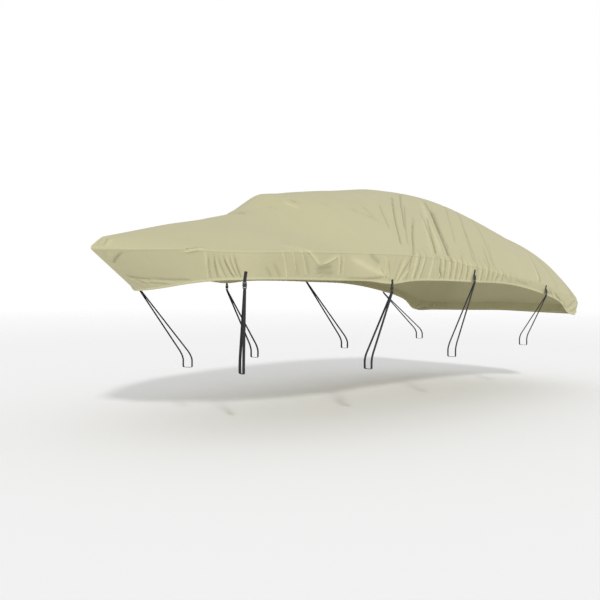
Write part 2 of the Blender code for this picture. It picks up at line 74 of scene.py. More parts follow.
sections = np.array((
    # run, gunwaleUp, hemUp, fullness
    (0, 0.245, -0.086, 1.3),
    (0.12, 0.24, -0.08, 1.35),
    (0.3, 0.238, -0.06, 1.4),
    (0.5, 0.24, -0.03, 1.4),
    (0.7, 0.228, -0.008, 1.4),
    (0.92, 0.222, 0, 1.4),
    (1.2, 0.226, 0.002, 1.45),
    (1.6, 0.228, -0.004, 1.65),
    (2, 0.228, -0.012, 2.05),
    (2.28, 0.226, -0.034, 2.2),
    (2.55, 0.22, -0.012, 2.2),
    (3, 0.195, -0.008, 2.2),
    (3.55, 0.13, -0.022, 2.2),
    (4.2, 0.055, -0.046, 2.4),
    (4.93, -0.03, -0.152, 2.5),
    (5.2, -0.085, -0.212, 2.5),
    (5.38, -0.13, -0.278, 2.55),
    (5.5, -0.165, -0.368, 2.7),
    (5.62, -0.205, -0.4, 2.9),
    (5.9, -0.262, -0.404, 2.5),
    (6.2, -0.268, -0.4, 2),
    (6.9, -0.252, -0.385, 1.9),
))
spine = np.array((
    # aft, up
    (0.12, 0.335),
    (0.3, 0.372),
    (0.7, 0.455),
    (1.15, 0.533),
    (1.4, 0.594),
    (1.55, 0.671),
    (1.65, 0.731),
    (1.74, 0.781),
    (1.8, 0.791),
    (1.95, 0.805),
    (2.1, 0.826),
    (2.6, 0.88),
    (3.1, 0.925),
    (3.6, 0.93),
    (4.1, 0.86),
    (4.5, 0.755),
    (4.9, 0.64),
))


def smoothColumn(table, column, at):
    # cubic through a table's column, whose slopes are the averages of the rises beside each row
    places = table[:, 0]
    values = table[:, column]
    slopes = np.gradient(values, places)
    at = np.clip(at, places[0], places[-1])
    left = np.clip(np.searchsorted(places, at, side="right") - 1, 0, len(places) - 2)
    step = places[left + 1] - places[left]
    part = (at - places[left]) / step
    ease = part * part * (3 - 2 * part)
    bends = slopes[left] * part * (1 - part) ** 2 - slopes[left + 1] * part * part * (1 - part)
    return values[left] + (values[left + 1] - values[left]) * ease + step * bends


def unit(vectors):
    return vectors / np.maximum(np.linalg.norm(vectors, axis=-1, keepdims=True), 1e-12)


bowTip = float(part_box("top_panel")[0][0])
coverLength = float(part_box("top_panel")[1][0]) - bowTip
crownUp = float(smoothColumn(spine, 1, np.array([-bowTip]))[0]) - cover["cloth"]
quarterStart = coverLength - cover["quarterRadius"]
quarterRun = cover["quarterRadius"] * math.pi / 2


def halfBeam(aft):
    # widest beam times one minus a power of the distance left to the end of the bow's curve
    bow = 1 - np.clip(1 - aft / cover["bowLength"], 0, 1) ** cover["bowBluffness"]
    stern = np.clip((aft - cover["bowLength"]) / (coverLength - cover["bowLength"]), 0, 1) ** 2
    return cover["halfBeam"] * bow - (cover["halfBeam"] - cover["sternHalfBeam"]) * stern


runEnd = quarterStart + quarterRun + float(halfBeam(quarterStart)) - cover["quarterRadius"]


def gunwalePlan(run):
    # the side, then a quarter circle, then straight across the stern to the middle
    turn = np.clip((run - quarterStart) / cover["quarterRadius"], 0, math.pi / 2)
    across = np.clip(run - quarterStart - quarterRun, 0, None)
    along = np.minimum(run, quarterStart)
    aft = along + cover["quarterRadius"] * np.sin(turn)
    half = halfBeam(along) - cover["quarterRadius"] * (1 - np.cos(turn)) - across
    return aft, np.where(run >= runEnd - 1e-6, 0.0, half)


def bareSurface(run, level, side):
    # level 1 is the spine, 0 the gunwale, -1 the hem. Above, a rib rises as one minus a power of what is
    # left of it. The spine's height is read further forward out at the sides, where the windscreen is
    # swept back. Below, the skirt falls straight, raked at the stem and drawn in at the hem.
    aft, half = gunwalePlan(run)
    gunwaleUp, hemUp, fullness = (smoothColumn(sections, column, run) for column in (1, 2, 3))
    foot = np.clip(aft, cover["spineStart"], cover["spineEnd"])
    spineUp = smoothColumn(spine, 1, foot)
    slope = np.interp(foot, spine[:, 0], np.gradient(spine[:, 1], spine[:, 0]))
    fan = np.clip(-slope * (aft - foot) / (spineUp - gunwaleUp), 0, cover["fanSlopeLimit"])
    up = np.clip(level, 0, 1)
    rise = (1 - fan) * (1 - (1 - up) ** fullness) + fan * up
    raked = np.clip(1 - aft / cover["stemRakeReach"], 0, 1)
    hemAft = aft + cover["stemRake"] * raked ** cover["stemRakeCurve"]
    hemHalf = half * (cover["hemHalfShare"] - cover["stemNarrowing"] * raked ** cover["stemNarrowCurve"])
    tuck = cover["hemTuck"] * np.clip(half / cover["tuckFullHalf"], 0, 1) * (1 - raked)
    sternTuck = cover["hemTuck"] * np.clip((run - quarterStart) / quarterRun, 0, 1)
    drop = np.clip(-level, 0, 1)
    x = aft + (foot - aft) * up + (hemAft - aft) * drop - sternTuck * drop
    y = half * (1 - up) + (hemHalf - half) * drop - np.minimum(tuck * drop ** cover["tuckCurve"], half)
    swept = cover["screenSweep"] * half * (1 - up) * np.interp(foot, cover["sweepPlaces"], (0, 1, 1, 0))
    screenUp = smoothColumn(spine, 1, foot - swept)
    z = gunwaleUp + (screenUp - gunwaleUp) * rise + (hemUp - gunwaleUp) * drop
    return np.stack((x + bowTip, side * y, z - crownUp), axis=-1)


def columnHeights(run):
    # length of the rib above the gunwale and of the skirt below it, in each column
    upper = bareSurface(run[None], np.linspace(0, 1, 24)[:, None] + 0 * run[None], -1.0)
    lower = bareSurface(run[None], -np.linspace(0, 1, 4)[:, None] + 0 * run[None], -1.0)
    rib = np.linalg.norm(np.diff(upper, axis=0), axis=-1).sum(0)
    drop = np.linalg.norm(np.diff(lower, axis=0), axis=-1).sum(0)
    return rib, drop


heightRuns = np.linspace(0, runEnd, 700)
heightRibs, heightDrops = columnHeights(heightRuns)


def heightsAt(run):
    return np.interp(run, heightRuns, heightRibs), np.interp(run, heightRuns, heightDrops)


def roundedSurface(run, up, rib, drop, side):
    # up is in metres from the gunwale. Near it each point is the mean of one above and one below.
    reach = np.interp(run, cover["edgePlaces"], cover["edgeRounding"])
    reach = reach * np.exp(-(up / cover["edgeReach"]) ** 2)
    toLevel = [np.where(u >= 0, u / rib, u / drop) for u in (up + reach, up - reach)]
    above, below = (bareSurface(run + 0 * up, np.clip(level, -1, 1), side) for level in toLevel)
    return (above + below) / 2


# ---- creases and pleats. up is 1 on the spine, 0 on the gunwale and -1 on the hem. lean makes one flank
# steep: the bow's side of a falling crease if positive. bend bows the line sideways. Both are 0 where they
# are left out. Widths, heights and bends are in millimetres.
creases = (
    # runA, upA, runB, upB, width, height, lean, bend
    # the bow, the gunwale behind it and the first pleats
    (0.17, -0.06, 0.04, -0.37, 6.5, -10, 0.3, 6),
    (0.1, -0.06, 0.03, -0.3, 8, 5),
    (0.03, 0.1, 0.04, 0.8, 7, -6, 0.3),
    (0.06, 0.08, 0.14, 0.74, 7, -8, 0.3),
    (0.08, 0.1, 0.16, 0.6, 8, 6),
    (0.03, -0.64, 0.22, -0.77, 10, -9, 0.2, 6),
    (0.05, -0.66, 0.16, -0.85, 9, -7, 0.2),
    (0.18, -0.71, 0.52, -0.92, 10, -9, 0.3, 8),
    (0.16, -0.82, 0.34, -0.92, 9, -6),
    (0.04, -0.72, 0.4, -0.92, 9, 4, 0, 4),
    (0.49, -0.07, 0.66, 0.09, 7.5, -12, 0.3, 4),
    (0.49, -0.12, 0.65, 0.04, 9, 13, 0.3, 6),
    (0.645, 0.02, 0.655, -0.95, 8, 9, -0.6),
    (0.662, -0.1, 0.675, -0.96, 4.5, -7, 0.4, 8),
    (0.695, -0.06, 0.73, -0.96, 5, -10.5, 0.4, 10),
    (0.718, -0.12, 0.795, -0.96, 4.2, -8.5, 0.3, 12),
    (0.75, -0.1, 0.845, -0.95, 5, -11.5, 0.4, 13),
    (0.785, -0.05, 0.87, -0.92, 4.2, -8, 0.3, 11),
    (0.82, -0.05, 0.895, -0.95, 5, -11, 0.3, 9),
    (0.707, -0.2, 0.757, -0.92, 5, 7.5, 0, 10),
    (0.768, -0.14, 0.856, -0.9, 5, 7.5, 0, 12),
    (0.803, -0.12, 0.88, -0.9, 4.5, 6.5, 0, 10),
    # the skirt and the windscreen
    (1.05, -0.5, 1.11, -0.95, 11, -6),
    (1.1, -0.35, 1.175, -0.95, 9, -6.5, 0.2),
    (1.155, 0.03, 1.225, -0.97, 6.5, 17, -0.3, -5),
    (1.225, 0.06, 1.285, -0.66, 5.5, 15, -0.2),
    (1.265, -0.3, 1.32, -0.9, 12, -5),
    (1.345, 0.09, 1.3, -0.1, 4.5, 11),
    (1.305, 0.03, 1.375, -0.86, 6, 18.5, -0.3, -3),
    (1.345, -0.1, 1.405, -0.84, 8, -6),
    (1.295, 0.13, 1.482, -0.5, 12, 13, 0.5, 15),
    (1.482, -0.51, 1.636, -0.17, 10, 13, 0.6, 6),
    (1.44, -0.64, 1.6, -0.54, 24, -11),
    (1.45, -0.78, 1.625, -0.76, 24, -8),
    (1.47, -0.88, 1.54, -0.78, 5, 10),
    (1.64, -0.04, 1.66, -0.88, 9.5, 17, 0.6),
    (1.675, -0.15, 1.685, -0.84, 5.5, -9),
    (1.692, -0.06, 1.71, -0.84, 6, 11, 0.2),
    (1.74, -0.16, 2.19, -0.76, 30, 12, 0.2, 20),
    (1.7, -0.92, 2.17, -0.82, 12, -11, 0, 12),
    (1.96, -0.02, 2.1, -0.38, 18, -10),
    (2.11, -0.5, 2.21, -0.86, 7, -9),
    (2.145, -0.05, 2.235, -0.82, 6, 15, -0.3, -4),
    (2.2, -0.2, 2.255, -0.94, 6, -8.4),
    (2.305, -0.06, 2.275, -0.8, 5.5, -9),
    (2.38, -0.1, 2.31, -0.94, 7.2, -11, 0.2),
    (2.44, -0.06, 2.33, -0.92, 7.8, 11.5, 0.2),
    (2.52, -0.04, 2.34, -0.94, 7.2, -14, 0, -6),
    (2.56, -0.3, 2.37, -0.96, 7.2, 10),
    (1.34, 1, 1.53, 0.79, 24, -15, 0.3, 10),
    (1.64, 0.8, 1.67, 0.72, 8.4, -6),
    (1.77, 0.75, 1.8, 0.6, 9.6, 8.4, -0.3, 6),
    (1.82, 0.74, 1.85, 0.61, 8.4, -9.6, 0.3, 6),
    (2.02, 0.58, 2.04, 0.49, 7.2, -7.2),
    (1.22, 0.14, 1.32, 0.02, 12, 6),
    # the fall of the cloth behind the crown
    (2.2, 0.44, 2.42, 0.26, 13, -8, 0.3, 12),
    (2.43, 0.47, 2.4, 0.3, 10, -7, 0.3, 8),
    (2.72, 0.48, 2.47, 0.2, 8, -10, 0.4, 10),
    (3.13, 0.62, 2.45, 0.07, 8.5, -15, 0.4, 22),
    (3.62, 0.86, 2.7, 0.2, 8, -12, 0.3, 12),
    (3.14, 0.49, 2.55, 0.07, 6.5, -8, 0.2, 8),
    (3.02, 0.32, 2.53, -0.02, 9, -15, 0.3, 10),
    (3.27, 0.42, 2.9, 0, 8, -12, 0.3, 8),
    (3.22, 0.36, 2.84, 0.02, 11, 5, -0.3, 8),
    (3.3, 0.36, 2.88, 0, 9, -16, 0.4, 8),
    (3.66, 0.63, 3.09, -0.01, 11, -15, 0.4, 22),
    (3.53, 0.47, 3.09, -0.01, 17, -24, 0.5, 16),
    (3.54, 0.58, 3, 0.02, 18, 7, -0.3, 22),
    (3.36, 0.3, 3.18, 0.04, 9, -9, 0.2, 6),
    (4.25, 0.8, 3.41, 0.14, 11, -6, 0.3, 16),
    (4.46, 0.84, 3.53, 0.03, 10, -9, 0.4, 16),
    (3.84, 0.3, 3.55, 0, 7.5, -10, 0.3, 4),
    (3.42, 0.09, 3.3, -0.02, 8, -10, 0.3),
    (4.52, 0.72, 3.92, 0.04, 9.5, -8, 0.3, 10),
    (3.97, 0.17, 3.79, -0.02, 8.5, -13, 0.3, 4),
    (4.14, 0.22, 3.9, 0, 8, -7, 0, 4),
    (5.28, 0.35, 4.81, -0.1, 10.5, -20, 0.5, 12),
    (5.2, 0.32, 4.76, -0.08, 12, 7, 0, 10),
    (4.6, -0.06, 4.62, -0.62, 8.5, -7, 0.2),
    (2.93, -0.3, 3.01, -0.92, 6, -12, 0.3, 4),
    (3.02, -0.25, 2.95, -0.85, 5.5, 10, 0, 4),
    (3.43, -0.28, 3.37, -0.9, 5.5, -10, 0.2),
    (3.68, -0.22, 3.76, -0.85, 5.5, 9, 0, 4),
    (3.99, -0.25, 3.92, -0.88, 6, -10, 0.2),
    (4.08, -0.15, 4.16, -0.8, 6.5, -8, 0.2),
    (5.5, 0.3, 5.2, -0.2, 18, -6, 0.2, 10),
    (5.85, 0.4, 5.6, -0.1, 24, -7, 0.2, 10),
    # the quarter and the stern
    (4.96, -0.6, 5.08, -0.86, 6, -10, 0.2),
    (5.03, -0.45, 5.15, -0.8, 6, -10, 0.2, 4),
    (5.1, -0.66, 5.22, -0.92, 5.5, 8),
    (5.16, -0.5, 5.28, -0.82, 6.5, -11, 0.2, 4),
    (5.24, -0.62, 5.35, -0.9, 5.5, -9, 0.2, 4),
    (5.32, -0.45, 5.42, -0.8, 6, 8),
    (5.38, -0.6, 5.46, -0.92, 6.5, -10, 0.2, 4),
    (5.45, -1, 5.63, -0.18, 8, -12, 0.3, 6),
    (5.5, -0.95, 5.68, -0.3, 7, 9, 0, 6),
    (5.56, -0.9, 5.74, -0.4, 7, -10, 0.2, 6),
    (5.66, 0.08, 5.54, -0.12, 10, -8, 0.2),
    (5.64, -0.92, 5.86, -0.62, 7.5, 10, 0, 6),
    (5.7, -0.96, 5.92, -0.72, 7, -11, 0.2, 6),
    (5.88, -0.9, 5.96, -0.3, 8, -10, 0.2),
    (6.08, -0.1, 6.14, -0.9, 14, -11, 0.3),
    (6.26, -0.2, 6.3, -0.92, 11, 9),
    (6.45, -0.05, 6.4, -0.92, 15, -9, 0.3),
    (6.75, -0.1, 6.82, -0.9, 16, -8.4, 0.2),
    (4.29, -0.45, 4.57, -0.66, 11, -6, 0, 4),
)
pleats = (
    # the gathered skirt: run at the gunwale, run at the hem, how far it climbs the top, width, height
    (2.53, 2.47, 0.04, 8.7, -14.3),
    (2.59, 2.54, 0.06, 8.1, 14.3),
    (2.66, 2.59, 0.05, 8.1, -15.7),
    (2.71, 2.63, 0.03, 6.8, 12.9),
    (2.75, 2.68, 0.07, 7.4, -12.9),
    (2.83, 2.8, 0.02, 11.2, 10),
    (2.93, 2.98, 0.05, 8.1, -12.9),
    (2.97, 3.01, 0.03, 6.8, 15.7),
    (3.02, 3.04, 0.08, 7.4, -15.7),
    (3.08, 3.09, 0.02, 8.1, 11.4),
    (3.13, 3.14, 0.08, 6.8, -17.2),
    (3.17, 3.18, 0.06, 6.8, 14.3),
    (3.22, 3.23, 0.03, 6.8, -11.4),
    (3.27, 3.27, 0.07, 6.8, 12.9),
    (3.31, 3.31, 0.04, 6.8, -15.7),
    (3.35, 3.37, 0.09, 6.2, 12.9),
    (3.39, 3.42, 0.03, 6.8, -14.3),
    (3.44, 3.46, 0.05, 6.2, 11.4),
    (3.58, 3.56, 0.06, 6.8, -14.3),
    (3.62, 3.62, 0.03, 6.8, 12.9),
    (3.66, 3.67, 0.08, 7.4, -14.3),
    (3.72, 3.73, 0.04, 8.1, 10),
    (3.78, 3.78, 0.07, 7.4, -17.2),
    (3.82, 3.82, 0.03, 6.8, 14.3),
    (3.86, 3.85, 0.06, 6.8, -15.7),
    (3.91, 3.9, 0.02, 6.8, 12.9),
    (3.95, 3.94, 0.05, 6.8, -14.3),
    (4.01, 4, 0.02, 7.4, 11.4),
    (4.06, 4.05, 0.03, 7.4, -12.9),
    (4.13, 4.13, 0, 8.7, 8.6),
    (4.2, 4.21, 0.02, 8.7, -8.6),
    (4.31, 4.33, -0.1, 11.2, -5.7),
)
millimetre = 0.001
relief = {
    "topFade": 0.16,           # a crease fades in over this length, and out over the next
    "footFade": 0.04,
    "fadeLimit": 0.4,          # the fade in takes at most this share of a short crease
    "startShare": 0.1,         # how far it is faded in at its very start
    "endShare": 0.35,          # and at its very end
    "crispness": 1.4,
    "fullShade": 0.022,        # a fold this deep gets the darkest painted shade
    "fullHighlight": 0.35,          # ridges get a painted highlight of at most this share of that
    "skirtShade": 0.20,        # painted shadow of the gunwale on the skirt between the first two straps, with brighter painted highlights on its ridges
    "skirtShadePlaces": (0.88, 1.05, 1.60, 1.90),
    "skirtShadeFade": 0.004,   # full from this far below the gunwale
    "tabCalm": 0.020,          # folds die out this near to a sewn tab
    "tabCalmTop": 0.06,        # up to this height above the gunwale
    "middleCalm": 0.03,        # and this near to the middle line
    "pleatFoot": -0.97,
    "swell": 0.0045,           # slow unevenness of the top
    "swellRoom": 0.12,         # full this far from the edges
    "hemRoll": 0.0055,         # the hem stands proud by this much
    "hemRollPlace": 0.008,     # above the edge
    "hemRollWidth": 0.008,
    "puckerReach": 0.055,      # small puckers of the elastic hem reach this high
    "puckerWaves": ((260, 0.6, 0), (171, 0.42, 1.3), (97, 0.48, 0.4)),   # waves, size, start
    "puckerWander": (0.02, 9), # how far the ripples wander, and how often
    "farShift": 0.045,         # the far side's creases lie up to this far from the near side's
    "farFoot": 0.8,            # at the foot by this share of it
    "farSize": (0.8, 0.35),    # and are as high as this share of them, give or take the second
}
puckerTable = np.array((
    # run, height of the hem's small puckers
    (0, 0.0016),
    (0.55, 0.0012),
    (0.95, 0.0006),
    (2.2, 0.001),
    (2.6, 0.0026),
    (4.1, 0.003),
    (4.8, 0.0022),
    (5.6, 0.0034),
    (7, 0.0026),
))


def creaseTable(side):
    # the far side gets the same kinds of crease, shifted and resized by slow sines
    rows = list(creases)
    for seam, hem, climb, width, height in pleats:
        rows.append((seam, max(climb, 0.01), hem, relief["pleatFoot"], width, height))
    rows = np.array([row + (0.0,) * (8 - len(row)) for row in rows])
    rows[:, (4, 5, 7)] *= millimetre
    if side > 0:
        count = np.arange(len(rows))
        shift = relief["farShift"] * np.sin(2.3 * count)
        rows[:, 0] += shift
        rows[:, 2] += shift * relief["farFoot"]
        size, change = relief["farSize"]
        rows[:, 5] *= size + change * np.sin(1.7 * count)
    return rows


def foldHeight(run, up, side):
    # a crease is a peaked curve across a bowed line, with its own width on each flank, faded at both ends
    height = 0 * up
    for runA, upA, runB, upB, width, rise, lean, bend in creaseTable(side):
        metresA = upA * heightsAt(runA)[0 if upA >= 0 else 1]
        metresB = upB * heightsAt(runB)[0 if upB >= 0 else 1]
        length = math.hypot(runB - runA, metresB - metresA)
        ahead = ((run - runA) * (runB - runA) + (up - metresA) * (metresB - metresA)) / length ** 2
        aside = ((run - runA) * (metresB - metresA) - (up - metresA) * (runB - runA)) / length
        aside = aside - bend * 4 * ahead * (1 - ahead)
        fadeLength = min(relief["topFade"], length * relief["fadeLimit"])
        start = np.clip(ahead * length / fadeLength + relief["startShare"], 0, 1)
        end = np.clip((1 - ahead) * length / relief["footFade"] + relief["endShare"], 0, 1) * start
        profile = np.exp(-np.abs(aside / (width * (1 - lean * np.sign(aside)))) ** relief["crispness"])
        height += rise * end * end * (3 - 2 * end) * profile
    calm = np.ones_like(run)
    for strap in straps:
        near = np.exp(-((run - strap[1]) / relief["tabCalm"]) ** 4)
        calm = calm * (1 - near * (up < relief["tabCalmTop"]))
    return height * calm


def hemHeight(run, up, drop):
    # uneven ripples of three wavelengths that die out upwards, and the round roll of the hem itself
    above = up + drop
    size = np.interp(run, puckerTable[:, 0], puckerTable[:, 1])
    reach, often = relief["puckerWander"]
    wander = run + reach * np.sin(often * run)
    ripple = sum(share * np.sin(wander * wave + begin) for wave, share, begin in relief["puckerWaves"])
    ripple = size * ripple * np.exp(-(above / relief["puckerReach"]) ** 2)
    roll = relief["hemRoll"] * np.exp(-((above - relief["hemRollPlace"]) / relief["hemRollWidth"]) ** 2)
    return ripple + roll


def swellHeight(points, up, rib, drop):
    # slow waves in plan, faded out at the spine, the gunwale and the hem
    x, y = points[..., 0], points[..., 1]
    wave = np.sin(3.1 * x + 0.7) * np.sin(4.3 * y + 1.1) + 0.6 * np.sin(6.7 * x - 3.9 * y)
    wave = wave + 0.5 * np.sin(11.3 * x + 7.1 * y + 2.0)
    room = np.where(up >= 0, up * (rib - up) / rib, -up * (drop + up) / drop)
    return relief["swell"] * wave * np.clip(room / relief["swellRoom"], 0, 1)


def gridNormals(grid, side):
    # along the rows crossed with down the columns. Where the first row's columns meet in one point, at
    # either end of the spine, they take the normal of the nearest column that stands apart.
    down = np.gradient(grid, axis=0)
    aft = np.gradient(grid, axis=1)
    normals = unit(np.cross(aft, down) * side)
    apart = np.flatnonzero(np.linalg.norm(aft[0], axis=-1) > 1e-6)
    normals[0, :apart[0]] = normals[0, apart[0]]
    normals[0, apart[-1]:] = normals[0, apart[-1]]
    return normals


def clothGrids(run, up, side):
    # points of the smooth form with the folds laid on along its normals, then the new normals, and a mark
    # for the cloth's colour: painted shade in the troughs, painted highlight on the ridges and on the hem's
    # roll
    rib, drop = heightsAt(run)
    smooth = roundedSurface(run, up, rib, drop, side)
    normals = gridNormals(smooth, side)
    folds = foldHeight(run, up, side)
    hem = hemHeight(run, up, drop)
    height = folds + hem + swellHeight(smooth, up, rib, drop)
    aft, half = gunwalePlan(run)
    fromMiddle = half * np.clip(1 - up / rib, 0, 1)
    height = height * np.clip(fromMiddle / relief["middleCalm"], 0, 1)
    outer = smooth + normals * height[..., None]
    # painted shadow of the gunwale on the skirt between the first two straps, where ridges also get a
    # brighter painted highlight
    paintedShadow = np.interp(run, relief["skirtShadePlaces"], (0, 1, 1, 0))
    paintedShadow = paintedShadow * np.clip(-up / relief["skirtShadeFade"], 0, 1)
    # painted shade in the folds' troughs, painted highlight on their ridges and on the hem's roll
    mark = np.clip((folds + hem) / relief["fullShade"], -1, relief["fullHighlight"] * (1 + paintedShadow))
    return outer, gridNormals(outer, side), mark - relief["skirtShade"] * paintedShadow


def settleMiddle(normals, columns):
    # where the two sides meet, the normals stay in the middle plane so that the edges close
    for place in columns:
        edge = normals[place]
        edge[..., 1] = 0.0
        normals[place] = unit(edge)
    return normals


# ---- meshes
def stripFaces(above, below, flip):
    # four-cornered faces between two lines of points, or between each two lines of a grid
    corners = (above[..., :-1], above[..., 1:], below[..., 1:], below[..., :-1])
    faces = np.stack(corners, axis=-1).reshape(-1, 4)
    return faces[:, ::-1] if flip else faces


def gridFaces(rows, columns, first, flip):
    ids = first + np.arange(rows * columns).reshape(rows, columns)
    return stripFaces(ids[:-1], ids[1:], flip)


def meshFrom(name, points, faces, marks, material, sharpAngle=50.0, weld=1e-5):
    # marks are per-point values: "UVMap" is the piece's own map, the rest are attributes
    mesh = bpy.data.meshes.new(name)
    mesh.from_pydata(points.tolist(), [], faces.tolist())
    corners = np.empty(len(mesh.loops), dtype=np.int64)
    mesh.loops.foreach_get("vertex_index", corners)
    for label, values in marks.items():
        if label == "UVMap":
            layer = mesh.uv_layers.new(name=label)
            layer.data.foreach_set("uv", values[corners].astype(np.float32).ravel())
        else:
            layer = mesh.attributes.new(label, "FLOAT", "POINT")
            layer.data.foreach_set("value", values.astype(np.float32).ravel())
    if weld:
        work = bmesh.new()
        work.from_mesh(mesh)
        bmesh.ops.remove_doubles(work, verts=work.verts, dist=weld)
        work.to_mesh(mesh)
        work.free()
    mesh.shade_smooth()
    mesh.set_sharp_from_angle(angle=math.radians(sharpAngle))
    mesh.materials.append(material)
    piece = addObject(name, mesh)
    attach(piece, "root")
    return piece


def spread(stops):
    # places from 0 on, with the spacing that each stop gives up to its run
    places = [np.zeros(1)]
    start = 0.0
    for end, spacing in stops:
        count = max(1, round((end - start) / spacing))
        places.append(np.linspace(start, end, count + 1)[1:])
        start = end
    return np.concatenate(places)


scene = bpy.context.scene


def addObject(name, data):
    added = bpy.data.objects.new(name, data)
    scene.collection.objects.link(added)
    return added


# ---- camera: at the height of the hem, off the port bow
camera = {
    "aft": -3.173,             # forward of the bow tip
    "out": 5.41,               # to port of the middle
    "heading": 45.15,          # degrees from straight across towards the stern
    "focalPixels": 800.0,
    "horizonPixel": 280.0,
    "framePixels": 600.0,
    "groundBelow": 1.248,
}


def makeCamera():
    lens = bpy.data.cameras.new("camera")
    lens.sensor_width = 36.0
    lens.lens = camera["focalPixels"] / camera["framePixels"] * lens.sensor_width
    lens.shift_y = (camera["horizonPixel"] - camera["framePixels"] / 2) / camera["framePixels"]
    lens.clip_end = 200.0
    eye = addObject("camera", lens)
    eye.location = (bowTip + camera["aft"], -camera["out"], -crownUp)
    heading = math.radians(camera["heading"])
    looking = Vector((math.sin(heading), math.cos(heading), 0.0))
    eye.rotation_euler = looking.to_track_quat("-Z", "Y").to_euler()
    scene.camera = eye


makeCamera()
print("camera placed")


# ---- finishes
def setInputs(tree, node, values):
    # a value is a number, a colour or another node's output
    for key, value in values.items():
        if isinstance(value, bpy.types.NodeSocket):
            tree.links.new(value, node.inputs[key])
        else:
            node.inputs[key].default_value = value


def addNode(tree, kind, settings=None, values=None):
    node = tree.nodes.new("ShaderNode" + kind)
    for key, value in (settings or {}).items():
        setattr(node, key, value)
    setInputs(tree, node, values or {})
    return node


def addMath(tree, operation, first, second=0.0):
    node = addNode(tree, "Math", {"operation": operation}, {0: first, 1: second})
    return node.outputs[0]


def times(tree, first, second):
    return addMath(tree, "MULTIPLY", first, second)


def addMix(tree, share, first, second):
    node = addNode(tree, "Mix", {"data_type": "RGBA"}, {0: share, 6: first, 7: second})
    return node.outputs[2]


def addBump(tree, height, distance, strength, below=None):
    values = {"Strength": strength, "Distance": distance, "Height": height}
    if below is not None:
        values["Normal"] = below
    return addNode(tree, "Bump", None, values).outputs["Normal"]


def addNoise(tree, vector, scale, detail=3.0, roughness=0.55):
    values = {"Scale": scale, "Detail": detail, "Roughness": roughness, "Vector": vector}
    return addNode(tree, "TexNoise", None, values).outputs["Fac"]


def addPlaces(tree):
    # the place in the piece's own metres, its map, and the two parts of the map
    place = addNode(tree, "TexCoord").outputs["Object"]
    mapUv = addNode(tree, "UVMap", {"uv_map": "UVMap"}).outputs["UV"]
    split = addNode(tree, "SeparateXYZ", None, {0: mapUv})
    return place, mapUv, split.outputs[0], split.outputs[1]


def addAttribute(tree, name):
    return addNode(tree, "Attribute", {"attribute_name": name}).outputs["Fac"]


def startMaterial(name, colour, roughness):
    material = bpy.data.materials.new(name)
    material.use_nodes = True
    tree = material.node_tree
    shader = tree.nodes["Principled BSDF"]
    setInputs(tree, shader, {"Base Color": (*colour, 1.0), "Roughness": roughness})
    return material, tree, shader


clothFinish = {
    "colour": (0.482, 0.455, 0.278),
    "fadedColour": (0.505, 0.478, 0.298),
    "threadColour": (0.54, 0.515, 0.35),
    "foldShadeAndHighlight": 0.42,         # painted shade in the troughs and painted highlight on the ridges, by this share at a full fold
    "fadeScale": 1.1,
    "fadeStart": 0.25,
    "mottleScale": 9.0,
    "mottleShare": 0.5,
    "roughness": 0.82,
    "sheen": 0.12,
    "sheenRoughness": 0.5,
    "specular": 0.25,
    "softWrinkles": (7.0, 0.012, 0.55),        # scale, depth in metres and strength
    "gatherWrinkles": (62.0, 0.010, 0.8),
    "gatherStretch": 0.16,     # how much slower they change down the cloth than across
    "fineWrinkles": (60.0, 0.0012, 0.35),
    "weavePitch": 0.0011,
    "weaveDepth": 0.00012,
    "stitchHeight": 4.0,       # in depths of the weave
    "stitchLength": 0.0055,
    "stitchShare": 0.72,       # the thread shows over this share of each stitch
    "stitchWidth": 0.0012,
    "stitchLines": (0.0035, 0.0095),
    "hemStitch": 0.020,
}


